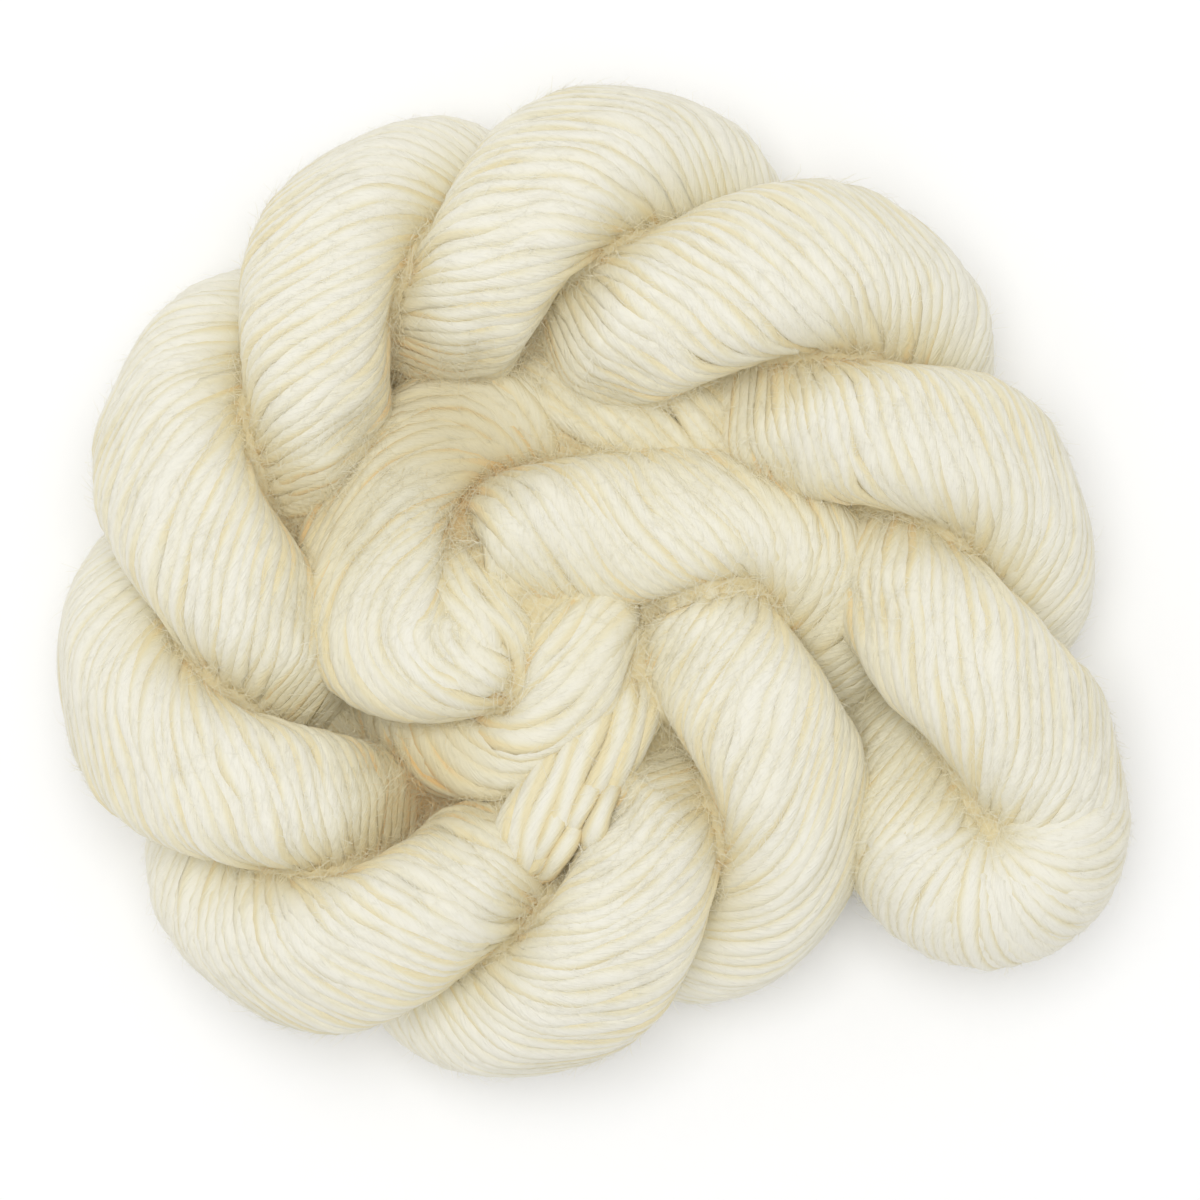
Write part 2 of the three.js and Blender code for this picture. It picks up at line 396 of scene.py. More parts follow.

# %% [markdown]
# ## Shade, sag and lost light
#
# Two things follow from the maps. Each point of wool gets a shade number, which its material
# turns into painted shade: a seam adds to it, a seam's bottom adds more, and so does a hollow.
# And where the coil's middle lies below its outer turn, the wool is slack. It sags there, it gets
# more painted shade, and a painted shadow darkens it where the outer turn would take some of its
# light. No map knows that, so a table names those deep places. The outer turn itself stands
# above them and stays as it is. At the bottom, the wool lies flat on the table, as a soft body
# does under its own weight.

# %% The shade of a seam
SEAM_FROM, SEAM_TO = 0.46, 0.9  # nearby wool, on an open shoulder and deep in a seam
HOLLOW_FROM, HOLLOW_TO = 0.32, 0.5  # the same, with the large blur
SEAM_SHADE, HOLLOW_SHADE = 0.5, 0.3
BOTTOM_SHADE, BOTTOM_POWER = 0.6, 4  # at a seam's bottom, and how near the bottom that is


def shade_from_maps(points):
    seam = (wool_near(points, seam_map) - SEAM_FROM) / (SEAM_TO - SEAM_FROM)
    hollow = (wool_near(points, hollow_map) - HOLLOW_FROM) / (HOLLOW_TO - HOLLOW_FROM)
    seam, hollow = np.clip(seam, 0, 1), np.clip(hollow, 0, 1)
    return SEAM_SHADE * seam + BOTTOM_SHADE * seam**BOTTOM_POWER + HOLLOW_SHADE * hollow


print("The plies' mean shade from the maps is", shade_from_maps(surface).mean().round(2))

# %% Deep places
DEEP_PLACES = [
    # x, y, reach, extra painted shade, sag and lost light, which is painted as a shadow
    (-14.5, 16.0, 8.5, 0.7, 3.0, 0.17),
    (-24.0, 6.0, 7.0, 0.4, 1.0, 0.06),
    (-18.0, -20.5, 6.0, 0.7, 2.0, 0.08),
    (20.0, 11.5, 5.0, 0.4, 0.5, 0.02),
]
TURN_TOP = 23.0  # mm above the table, where the outer turn's wool is out of that shade
TURN_FADE = 3  # mm, over which it comes out


def deep_places(points):
    """For each deep place, how far the points are in it, from 0 to 1, and its three effects."""
    for x, y, reach, *effects in DEEP_PLACES:
        away = np.hypot(points[..., 0] - x, points[..., 1] - y)
        yield np.exp(-((away / reach) ** 2)), effects


def below_turn(points):
    return np.clip((TURN_TOP - points[..., 2]) / TURN_FADE, 0, 1)


def shade_of(points):
    """0 on an open shoulder of wool, about 1 in a seam, and up to about 2 in a deep place."""
    slack = sum(extra * share for share, (extra, _, _) in deep_places(points))
    return shade_from_maps(points) + slack * below_turn(points)


def light_on(points):
    """A painted shadow: 1 where the wool is in full light, and less at the deep places."""
    return 1 - sum(lost * share for share, (_, _, lost) in deep_places(points)) * below_turn(points)


print("The plies' mean shade in all is", shade_of(surface).mean().round(2))

# %% Sag and the table
SOFT_FLOOR = 0.6  # how gently the wool flattens on the table, in mm


def settled(points):
    """Lets the wool sag at the deep places, and flattens it where it would go below the table."""
    sunk = points.copy()
    for share, (_, sag, _) in deep_places(points):
        sunk[..., 2] -= sag * share * np.clip(points[..., 2] / TURN_TOP, 0, 1)
    sunk[..., 2] = SOFT_FLOOR * np.logaddexp(0, sunk[..., 2] / SOFT_FLOOR)
    return sunk


print("The wool sags by up to", (surface - settled(surface))[..., 2].max().round(1), "mm")

# %% [markdown]
# ## From a path to a strand
#
# A strand of single-ply wool is a soft tube. It is flattened a little where it presses on its
# neighbours, and its thickness comes and goes. A Blender curve with a bevel gives a round tube
# of one shape only, so the tube is made here as a mesh: a ring of points at each station, turned
# to follow the surface that it lies on. Each tube carries a UV map for its material: millimetres
# along the strand, and an angle round it. It also carries four numbers. Its tone sets it apart
# from its neighbours, its shade says how deep in the wool each point is, for the painted shade,
# its valley shade says how dark the painted shade of the lines at its sides is, and its light is
# the share of light that reaches it, painted as a shadow on its colour.

# %% Tubes
RING = np.radians([0, 45, 90, 135, 180, 270])  # round a strand; the hidden side needs only one
NO_FACES, NO_UV = np.zeros((0, 3), int), np.zeros((0, 2))


def tubes(paths, outward, half_width, half_height, tone, valley_shade):
    """Tubes along paths, an array of strands by rings by 3."""
    count, rings, _ = paths.shape
    tangent = unit(np.gradient(paths, axis=1))
    sideways = unit(np.cross(tangent, outward))
    normal = np.cross(sideways, tangent)
    points = (
        paths[:, :, None]
        + sideways[:, :, None] * (half_width[..., None, None] * np.cos(RING)[:, None])
        + normal[:, :, None] * (half_height[..., None, None] * np.sin(RING)[:, None])
    )
    grid = np.arange(count * rings * len(RING)).reshape(count, rings, len(RING))
    next_one = np.roll(grid, -1, axis=2)
    faces = np.stack([grid[:, :-1], next_one[:, :-1], next_one[:, 1:], grid[:, 1:]], axis=-1)
    length = np.linalg.norm(np.diff(paths, axis=1), axis=2).cumsum(axis=1)
    along = np.concatenate([np.zeros((count, 1)), length], axis=1)[:, :, None] + 0 * RING
    corner_along = np.stack([along[:, :-1], along[:, :-1], along[:, 1:], along[:, 1:]], axis=-1)
    side_from = np.broadcast_to(RING, along[:, 1:].shape)
    side_to = np.broadcast_to(np.append(RING[1:], RING[0] + FULL_CIRCLE), side_from.shape)
    corner_round = np.stack([side_from, side_to, side_to, side_from], axis=-1)
    return {
        "points": settled(points).reshape(-1, 3),
        "faces": faces.reshape(-1, 4),
        "caps": np.concatenate([grid[:, 0, ::-1], grid[:, -1]]),
        "uv": np.stack([corner_along, corner_round], axis=-1).reshape(-1, 2),
        "tone": np.repeat(tone.reshape(count, rings), len(RING)),
        "shade": shade_of(points).reshape(-1),
        "valley_shade": np.repeat(valley_shade.reshape(count, rings), len(RING)),
    }


print(len(RING), "points round a strand")


# %% A piece of the skein
def add_piece(name, shape, material):
    """A mesh object from a dictionary of points, faces, UVs and numbers. It rides on the skein's
    one body and stands for the plain solid."""
    faces = shape["faces"].tolist() + shape["caps"].tolist()
    mesh = bpy.data.meshes.new(name)
    mesh.from_pydata((shape["points"] * MM).tolist(), [], faces)
    uv = np.zeros((len(mesh.loops), 2), np.float32)
    uv[: len(shape["uv"])] = shape["uv"]
    mesh.uv_layers.new(name="Strand").data.foreach_set("uv", uv.ravel())
    # light: a painted shadow at the deep places, which dims the colour
    shape = {**shape, "light": light_on(shape["points"])}
    for quantity in ("tone", "shade", "valley_shade", "light"):
        layer = mesh.attributes.new(quantity, "FLOAT", "POINT")
        layer.data.foreach_set("value", shape[quantity].astype(np.float32))
    mesh.shade_smooth()
    mesh.materials.append(material)
    piece = bpy.data.objects.new(name, mesh)
    bpy.context.collection.objects.link(piece)
    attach(piece, "root")
    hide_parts("skein")
    print(name, "has", sum(len(f) - 2 for f in faces), "triangles")


# %% [markdown]
# ## Wool
#
# Undyed wool is a warm cream. A loosely spun single is a bundle of crimped fibres about 0.03 mm
# thick, so light goes a little way in, comes out warmer, and leaves no gloss. Keratin has an IOR
# of about 1.55, but the fibres scatter so much that the strand looks quite matt, with a soft
# sheen at its edges from the fibres that stand out. The material says this with a high
# roughness and sheen. Subsurface scattering would blur the light inside each tube alone, and
# leave a dark line where two tubes meet, so the warm light and the shade between strands are
# painted in as colour: from cream through straw and tan to gold as the painted shade deepens.

# %% The wool's colours
# painted shade runs through these colours, from cream on open wool to gold deepest in the seams
CREAM = "#EFECDE"
STRAW = "#EAE4CA"
TAN = "#E9DCB2"
GOLD = "#EECB8E"
CREAM_TO, STRAW_AT, TAN_AT, DEEPEST = 0.2, 0.65, 1.3, 1.95  # the shade of each, gold's last


def linear(hex_colour):
    """A Blender colour from an sRGB hex value."""
    values = [int(hex_colour[i : i + 2], 16) / 255 for i in (1, 3, 5)]
    light = [v / 12.92 if v <= 0.04045 else ((v + 0.055) / 1.055) ** 2.4 for v in values]
    return (*light, 1.0)


print("Wool goes from", CREAM, "through", STRAW, "and", TAN, "to", GOLD)


# %% Adding a node
def node(tree, kind, inputs=(), **settings):
    """Adds a node and returns it. settings are its own properties. inputs pairs the name or place
    of an input with a value, with the output of another node, or with a node, which stands for
    its first output."""
    new = tree.nodes.new(kind)
    for name, value in settings.items():
        setattr(new, name, value)
    for key, value in dict(inputs).items():
        if isinstance(value, bpy.types.Node):
            value = value.outputs[0]
        if isinstance(value, bpy.types.NodeSocket):
            tree.links.new(value, new.inputs[key])
        else:
            new.inputs[key].default_value = value
    return new


# %% [markdown]
# ## Fibres in the wool
#
# Close up, a strand is a bundle of fibres that lie along it at a slight slant, because it is
# spun. Noise that is drawn out along the strand looks like that, and the strand's UV map says
# which way along is. Loose fibres and felt lie anyhow, so theirs is plain noise in space. The
# drawn fibres are seven times coarser than life, or they wouldn't show.

# %% Patterns of fibres
FIBRE_WIDTH = 0.22  # of a drawn fibre and its gap, in mm
FIBRE_LENGTH = 2.6  # how long a drawn fibre looks, in mm
FIBRE_SLANT = 0.28  # across for each mm along
FELT_TUFT = 0.4  # the size of a tuft of felt, in mm


def fibre_pattern(tree, tone):
    strand_uv = node(tree, "ShaderNodeUVMap", uv_map="Strand")
    split = node(tree, "ShaderNodeSeparateXYZ", {"Vector": strand_uv})
    along, across = split.outputs["X"], split.outputs["Y"]
    slant = {0: along, 1: FIBRE_SLANT, 2: across}
    slanted = node(tree, "ShaderNodeMath", slant, operation="MULTIPLY_ADD")
    laid = node(tree, "ShaderNodeCombineXYZ", {"X": along, "Y": slanted})
    per_mm = (1 / FIBRE_LENGTH, 1 / FIBRE_WIDTH, 1)
    scaled = node(tree, "ShaderNodeVectorMath", {0: laid, 1: per_mm}, operation="MULTIPLY")
    noise = {"Vector": scaled, "W": tone, "Scale": 1.0, "Detail": 3.0, "Roughness": 0.6}
    return node(tree, "ShaderNodeTexNoise", noise, noise_dimensions="4D").outputs["Fac"]


def felt_pattern(tree, tone):
    place = node(tree, "ShaderNodeNewGeometry").outputs["Position"]
    scale = 1 / (FELT_TUFT * MM)
    noise = {"Vector": place, "W": tone, "Scale": scale, "Detail": 4.0, "Roughness": 0.7}
    return node(tree, "ShaderNodeTexNoise", noise, noise_dimensions="4D").outputs["Fac"]


print("A drawn fibre is", FIBRE_WIDTH, "x", FIBRE_LENGTH, "mm")

# %% From shade to colour
VALLEY_SIDE = 0.2  # 1 less the sine of the angle at which a strand's side meets the next
VALLEY_CURVE = 1.3  # above 1, the line between two strands is narrower
VALLEY_MOST = 1.3  # how dark the painted shade gets on a strand's hidden sides
FIBRE_SHADE = 0.3  # how much the fibres change the shade
TONE_SHADE = 0.14  # how much the strands differ


def valley_depth(tree):
    """How much painted shade a strand's side gets: 0 along the top of a strand, and about 1 where
    it meets the next.
    """
    strand_uv = node(tree, "ShaderNodeUVMap", uv_map="Strand")
    angle = node(tree, "ShaderNodeSeparateXYZ", {"Vector": strand_uv}).outputs["Y"]
    sine = node(tree, "ShaderNodeMath", {0: angle}, operation="SINE")
    fall = node(tree, "ShaderNodeMath", {0: 1.0, 1: sine}, operation="SUBTRACT")
    share = node(tree, "ShaderNodeMath", {0: fall, 1: VALLEY_SIDE}, operation="DIVIDE")
    curved = node(tree, "ShaderNodeMath", {0: share, 1: VALLEY_CURVE}, operation="POWER")
    return node(tree, "ShaderNodeMath", {0: curved, 1: VALLEY_MOST}, operation="MINIMUM")


def colour_by_depth(tree, tone, fibres):
    """Painted shade, cream to gold by the shade number, with each strand and fibre a little
    different, and a painted shadow from the light number.
    """
    shade, valley_shade, light = (
        node(tree, "ShaderNodeAttribute", attribute_name=name).outputs["Fac"]
        for name in ("shade", "valley_shade", "light")
    )
    tint = node(tree, "ShaderNodeMath", {0: tone}, operation="FRACT")
    for value, weight in ((valley_shade, valley_depth(tree)), (fibres, FIBRE_SHADE), (tint, TONE_SHADE)):
        added = {0: value, 1: weight, 2: shade}
        shade = node(tree, "ShaderNodeMath", added, operation="MULTIPLY_ADD")
    share = node(tree, "ShaderNodeMath", {0: shade, 1: DEEPEST}, operation="DIVIDE")
    colour = node(tree, "ShaderNodeValToRGB", {"Fac": share})
    ramp = colour.color_ramp
    ramp.elements[0].position, ramp.elements[0].color = CREAM_TO / DEEPEST, linear(CREAM)
    ramp.elements[1].position, ramp.elements[1].color = 1.0, linear(GOLD)
    ramp.elements.new(STRAW_AT / DEEPEST).color = linear(STRAW)
    ramp.elements.new(TAN_AT / DEEPEST).color = linear(TAN)
    # painted shadow: the light number dims the colour at the deep places
    dimmed = {0: colour.outputs["Color"], "Scale": light}
    return node(tree, "ShaderNodeVectorMath", dimmed, operation="SCALE").outputs[0]


# %% The wool's two materials
RELIEF_DEPTH = 0.25 * MM


def wool_material(name, pattern, relief):
    material = bpy.data.materials.new(name)
    material.use_nodes = True
    tree = material.node_tree
    tree.nodes.clear()
    tone = node(tree, "ShaderNodeAttribute", attribute_name="tone").outputs["Fac"]
    fibres = pattern(tree, tone)
    bumpy = {"Strength": relief, "Distance": RELIEF_DEPTH, "Height": fibres}
    matt = {
        "Base Color": colour_by_depth(tree, tone, fibres),
        "Normal": node(tree, "ShaderNodeBump", bumpy),
        "Roughness": 0.88,
        "IOR": 1.55,
        "Specular IOR Level": 0.25,
        "Sheen Weight": 0.4,
        "Sheen Roughness": 0.5,
        "Sheen Tint": linear("#FFF9E8"),
    }
    shader = node(tree, "ShaderNodeBsdfPrincipled", matt)
    node(tree, "ShaderNodeOutputMaterial", {"Surface": shader})
    return material


wool = wool_material("undyed_wool_single", fibre_pattern, 0.8)
loose_wool = wool_material("loose_wool_fibres", felt_pattern, 0.5)
print("Materials:", wool.name, "and", loose_wool.name)

# %% [markdown]
# ## The strands of the two plies
#
# Where the strands show, on top of each ply, they run almost along the rope. That is how a
# balanced rope lies: the hank was twisted one way, and folding it let it wind back the other
# way. So each strand goes round its ply against the ply's own turn round the rope. The strands
# stand at even gaps round the oval. Where a bend or the turn at the looped end leaves too little
# room for all of them, every other one slips below its neighbours. Real strands also wander,
# rise and sink, and so do these, by sums of slow waves with random phases.

# %% Even gaps round the oval
STRANDS = 40  # those that show on a ply; many more lie inside
OVAL_POINTS = 721  # round the oval, to measure along it

oval_angle = np.linspace(0, FULL_CIRCLE, OVAL_POINTS)
oval = np.column_stack([
    PLY_HALF_THICKNESS * np.cos(oval_angle),
    PLY_HALF_WIDTH * np.sin(oval_angle),
])
oval_length = np.concatenate([[0], np.cumsum(np.linalg.norm(np.diff(oval, axis=0), axis=1))])
STRAND_GAP = oval_length[-1] / STRANDS


def evenly_round(turn):
    """The oval's angle, for a place round it given as an even turn in radians."""
    whole = np.floor(turn / FULL_CIRCLE)
    length = (turn / FULL_CIRCLE - whole) * oval_length[-1]
    return np.interp(length, oval_length, oval_angle) + whole * FULL_CIRCLE


print("Strands stand", round(STRAND_GAP, 2), "mm apart round the oval")


# %% Waves, and strands that wander
def waves(count, along, shortest, longest, parts=4):
    """Smooth random waves of about unit height, one row for each strand, in mm along it."""
    total = np.zeros((count, len(along)))
    for _ in range(parts):
        length = random.uniform(shortest, longest, (count, 1))
        total += np.sin(FULL_CIRCLE * (along / length + random.random((count, 1))))
    return total / math.sqrt(parts / 2)


def shared(values, reach):
    """Each row mixed with its neighbours, so that strands side by side go together."""
    steps = np.arange(-2 * reach, 2 * reach + 1)
    weights = np.exp(-((steps / reach) ** 2))
    mixed = sum(w * np.roll(values, k, axis=0) for k, w in zip(steps, weights))
    return mixed / math.sqrt((weights**2).sum())


WANDER, STRAY = 0.6, 0.12  # mm, how far strands go sideways together, and each by itself
TOGETHER = 3  # strands to each side that go along

together = shared(waves(STRANDS, travelled, 30, 100), TOGETHER)
wander = WANDER * together + STRAY * waves(STRANDS, travelled, 8, 30)
wander_angle = wander / oval_length[-1] * FULL_CIRCLE
spread = np.arange(STRANDS) / STRANDS * FULL_CIRCLE
around = evenly_round(hank["phase"] - spread[:, None] + wander_angle).T
print("Strands wander by up to", np.abs(wander).max().round(1), "mm")

# %% Room for each strand
SUNK = 0.72  # mm, the depth of a strand's middle below the ply's outer surface


def room_at(angles):
    """The gap between strands, square to them, as a share of the usual gap."""
    path = on_ply(angles, -SUNK)
    ahead = unit(np.gradient(path, axis=0))
    beside = np.roll(path, -1, axis=1) - np.roll(path, 1, axis=1)
    square = beside - (beside * ahead).sum(axis=-1, keepdims=True) * ahead
    return np.linalg.norm(square, axis=-1) / 2 / STRAND_GAP


room = room_at(around)
print("Strands have", room.min().round(2), "to", room.max().round(2), "times the usual room")

# %% Strands that slip under
SLIP = 1.3  # how far a strand without room sinks, in mm
NO_ROOM, ENOUGH_ROOM = 0.4, 0.62  # at which a strand has wholly slipped, and has not at all
THIN, FULL = 0.72, 0.82  # the rope's girth at its thin inner end, where the strands are loose
LOOSE = 1.5  # how much more room they want there


def eased(value, low, high):
    share = np.clip((value - low) / (high - low), 0, 1)
    return share * share * (3 - 2 * share)


fewer = np.interp(hank["girth"], (THIN, FULL), (LOOSE, 1))[:, None]
strand_number = np.arange(STRANDS)
slip = np.zeros_like(room)
for halved in (2, 4, 8):  # first every other strand, then every other one of the rest
    goes_under = strand_number % halved == halved // 2
    too_tight = 1 - eased(room * halved / 2, NO_ROOM * fewer, ENOUGH_ROOM * fewer)
    slip += SLIP * too_tight * goes_under
print("Strands that slip under:", round(100 * (slip > SLIP / 2).mean()), "% of their length")

# %% Room that slipped strands leave
NARROWEST, WIDEST = 0.9, 1.4  # how far a strand is pressed together, and spreads where it has room

room_left = room.copy()
for away in (1, 2, 4):  # how far off the strands are that slip first, second and third
    neighbours = (np.roll(slip, away, axis=1) + np.roll(slip, -away, axis=1)) / 2 / SLIP
    room_left *= 1 + np.clip(neighbours, 0, 1)
wider = np.clip(room_left.T, NARROWEST, WIDEST)
print("On average, strands are", wider.mean().round(2), "times as wide as usual")

# %% The strands
STRAND_HALF_WIDTH, STRAND_HALF_HEIGHT = 1.22, 0.8  # mm
RISE, UNEVEN = 0.07, 0.09  # mm that strands rise, and the share by which their thickness changes
VALLEY, VALLEY_CHANGE = 0.4, 0.2  # how dark the painted shade of the lines between strands is, and how that changes
VALLEY_LEAST, VALLEY_TOP = 0.1, 0.66
TONES = 0.98  # a tone is a strand's number and a fraction below this

depth = (RISE * waves(STRANDS, travelled, 15, 60)).T - SUNK - slip
paths = on_ply(around, depth).transpose(1, 0, 2)
outward = unit(on_ply(around, depth + 0.5) - on_ply(around, depth - 0.5)).transpose(1, 0, 2)
thickness = 1 + UNEVEN * waves(STRANDS, travelled, 12, 50)
strand_tone = random.random((STRANDS, 1)) * TONES + strand_number[:, None] + np.zeros(RINGS)
valley_shade = VALLEY + VALLEY_CHANGE * waves(STRANDS, travelled, 10, 50)
valley_shade = np.clip(valley_shade, VALLEY_LEAST, VALLEY_TOP)

GROUPS = 4
for group in range(GROUPS):
    rows = slice(group, STRANDS, GROUPS)
    strands = tubes(
        paths[rows],
        outward[rows],
        STRAND_HALF_WIDTH * (thickness * wider)[rows],
        STRAND_HALF_HEIGHT * thickness[rows],
        strand_tone[rows],
        valley_shade[rows],
    )
    add_piece(f"hank_strands_{group + 1}", strands, wool)

# %% [markdown]
# ## The wool below
#
# Between the strands that show, the eye meets the strands beneath them and a felt of loose
# fibres, in shade. In the seams this felt rises and rounds off the bottom. All of it is one soft
# ground. A map with a very small blur puts it just below the strands, and the seam map lifts it
# in the seams. The ground is the surface where the higher of the two passes zero, and it is found
# by "surface nets": each block of eight cubes that the surface goes through gets one point, and
# each pair of neighbouring cubes on two sides of the surface gets a quad.


# %% Surface nets
def blocks_round(cube, axis):
    """The four blocks that share the edge from a cube to the next along an axis, in a ring."""
    a, b = np.eye(3, dtype=int)[(axis + 1) % 3], np.eye(3, dtype=int)[(axis + 2) % 3]
    return np.stack([cube, cube - a, cube - a - b, cube - b], axis=1)


def level_surface(grid):
    """Points and quads of the surface at which a grid passes zero."""
    inside = grid > 0
    total, crossings = np.zeros(grid.shape + (3,)), np.zeros(grid.shape)
    quads = []
    for axis, step in enumerate(np.eye(3, dtype=int)):
        crossed = inside[:-1, :-1, :-1] != np.roll(inside, -1, axis=axis)[:-1, :-1, :-1]
        cube = np.argwhere(crossed)
        here, there = grid[tuple(cube.T)], grid[tuple((cube + step).T)]
        crossing = cube + step * (-here / (there - here))[:, None]
        ring = blocks_round(cube, axis)
        for block in ring.transpose(1, 0, 2):
            np.add.at(total, tuple(block.T), crossing)
            np.add.at(crossings, tuple(block.T), 1)
        leaving = inside[tuple(cube.T)]
        quads.append(np.where(leaving[:, None, None], ring, ring[:, ::-1]))
    used = crossings > 0
    point_number = np.cumsum(used.ravel()).reshape(used.shape) - 1
    points = (total[used] / crossings[used][:, None] + 0.5) * CUBE + LOW_CORNER
    quads = np.concatenate(quads)
    return points, point_number[quads[..., 0], quads[..., 1], quads[..., 2]]


# %% The ground between the strands
BELOW_STRANDS = 1.0  # mm, the blur of the map for the ground below the strands
STRAND_LEVEL = 0.74  # the share of wool in that map at which the ground lies
SEAM_LEVEL = 0.735  # the same, in the seam map
GROUND_LUMPS = 0.08  # how uneven the felt is, in mm
GROUND_SHADE = 1.6  # how much deeper its painted shade is than a strand's

below_map = blurred(wool_cubes, BELOW_STRANDS / CUBE)
ground_grid = np.maximum(below_map - STRAND_LEVEL, seam_map - SEAM_LEVEL)
ground_points, ground_faces = level_surface(ground_grid)
rough = ground_points + random.normal(0, GROUND_LUMPS, ground_points.shape)
ground = {
    "points": settled(rough),
    "faces": ground_faces,
    "caps": NO_FACES,
    "uv": NO_UV,
    "tone": np.zeros(len(ground_points)),
    "shade": GROUND_SHADE * shade_of(ground_points),
    "valley_shade": np.zeros(len(ground_points)),
}
add_piece("hank_inside", ground, loose_wool)

# %% Strands round the bundles
BUNDLE_MM = 60  # about how long a bundle is, for its waves
BUNDLE_WANDER = 0.06  # in radians round the bundle
BUNDLE_UNEVEN = 0.08  # the share by which its strands' thickness changes
BUNDLE_FLATNESS = 0.75  # a strand's height, as a share of its width


def add_bundle(name, count, twist, rings, valley_shade, fatter=1.0, lit=1.0):
    """twist is in turns over the bundle's length, and lit is the share of its painted shade that
    stays.
    """
    t = np.linspace(0, 1, rings)
    angle = np.arange(count)[:, None] / count * FULL_CIRCLE + twist * FULL_CIRCLE * t
    wandering = angle + BUNDLE_WANDER * waves(count, t * BUNDLE_MM, 20, 60)
    path, out = on_bundle(name, t, wandering, -SUNK)
    thick = fatter * STRAND_HALF_WIDTH * (1 + BUNDLE_UNEVEN * waves(count, t * BUNDLE_MM, 15, 50))
    tone = random.random((count, 1)) * TONES + np.arange(count)[:, None] + 0 * t
    strands = tubes(path, out, thick, thick * BUNDLE_FLATNESS, tone, valley_shade + 0 * thick)
    strands["shade"] *= lit
    add_piece(name + "_strands", strands, wool)


# the last numbers: the painted shade of the lines between strands, and lit keeps half the loop
# end's painted shade
add_bundle("tucked_under", 24, 0.3, 60, VALLEY)
add_bundle("middle", 22, -0.1, 40, VALLEY)
add_bundle("under_the_turn", 22, 0.05, 30, VALLEY)
add_bundle("between_turns", 28, 0.5, 60, VALLEY)
add_bundle("loop_end", 10, -0.5, 50, 0.65, fatter=1.15, lit=0.5)

# %% [markdown]
# ## The loops of the inner end
#
# Where a hank was folded, a few of its loops poke out past the slim bundle. Each is one strand
# that comes up from below, turns back on itself and goes in again. A hairpin is the simplest way
# to say that: a path that runs down one side and back up the other, round a small bend.

# %% Hairpin loops
HAIRPINS = np.array([
    # x, y at the bend, x, y where it goes in, height at the top
    (-9.0, -30.4, -5.4, -22.6, 18.2),
    (-5.4, -29.6, -1.4, -20.6, 20.2),
    (-1.8, -27.0, 1.6, -18.4, 20.8),
])
LEG_GAP = 2.1  # between a hairpin's two sides, in mm
SHORTER = 0.28 * LEG_GAP  # by how much less a leg reaches because it goes round the bend
HAIRPIN_RINGS = 41
HAIRPIN_HALF_WIDTH, HAIRPIN_FLATNESS = 1.1, 0.8  # mm, and the height as a share of the width
HAIRPIN_SAG = 5.0  # about how much lower the ends are than the top, in mm
HAIRPIN_TOP = 0.45  # where along it a hairpin is highest
HAIRPIN_WANDER, HAIRPIN_UNEVEN = 0.2, 0.07  # mm, and a share of the width
LEG_MM, LEG_WIDTH_MM = 12, 20  # a leg's length, as the waves of its path and its width count
# how dark the painted shade between a hairpin's strands is
HAIRPIN_VALLEY = 0.7


def hairpins():
    """Tubes for all the hairpins. t is -1 at one end, 0 at the bend and 1 at the other end."""
    bend, root, height = HAIRPINS[:, None, 0:2], HAIRPINS[:, None, 2:4], HAIRPINS[:, 4, None]
    count = len(HAIRPINS)
    t = np.linspace(-1, 1, HAIRPIN_RINGS)
    lengthwise = root - bend
    length = np.linalg.norm(lengthwise, axis=-1)
    up_leg = lengthwise / length[..., None]
    sideways = np.stack([-up_leg[..., 1], up_leg[..., 0]], axis=-1)
    run = np.abs(t) * (length + LEG_GAP)
    quarter = LEG_GAP * math.pi / 4
    past_bend = np.clip(run / quarter, 0, 1) * math.pi / 2
    out = np.sign(t) * np.sin(past_bend) * LEG_GAP / 2
    up = np.where(run < quarter, (1 - np.cos(past_bend)) * LEG_GAP / 2, run - SHORTER)
    share = up / length
    out = out + HAIRPIN_WANDER * waves(count, t * LEG_MM, 8, 20)
    flat = bend + up_leg * up[..., None] + sideways * out[..., None]
    z = height - HAIRPIN_SAG * (2 * share - 2 * HAIRPIN_TOP) ** 2
    z = z + HAIRPIN_WANDER * waves(count, t * LEG_MM, 8, 20)
    path = np.concatenate([flat, z[..., None]], axis=-1)
    width = HAIRPIN_HALF_WIDTH * (1 + HAIRPIN_UNEVEN * waves(count, t * LEG_WIDTH_MM, 8, 20))
    tone = random.random((count, 1)) + np.arange(count)[:, None] + 0 * t
    up_everywhere = np.broadcast_to(UP, path.shape)
    valleys = HAIRPIN_VALLEY + 0 * width
    return tubes(path, up_everywhere, width, width * HAIRPIN_FLATNESS, tone, valleys)


add_piece("inner_end_loops", hairpins(), wool)

# %% [markdown]
# ## Stray fibres
#
# Wool that is spun loosely is fuzzy. Fibres a few centimetres long come out of one strand and
# lie over the next, and they soften every gap and edge. Blender's hair could draw them, but it
# wouldn't go out with the model, so each fibre is a narrow ribbon of a few faces, which bends up
# from its strand and back. It is about 0.05 mm wide where it starts, a little more than wool is,
# and it tapers. Only the few millimetres that leave the strand are drawn, and there are far fewer
# of them than in life. Fibres in the seams lie every way, and most lie where the wool is deepest.
# Those get the seams' golden painted shade too, and they hide the felt below.

# %% Ribbons for fibres
FIBRE_STEPS = 2
FIBRE_HALF_WIDTH = 0.024  # in mm, for those on the strands
FINE_HALF_WIDTH = 0.021  # for the finer ones in the seams
ROOT_WIDTH, TAPER = 1.1, 0.7  # as shares of that


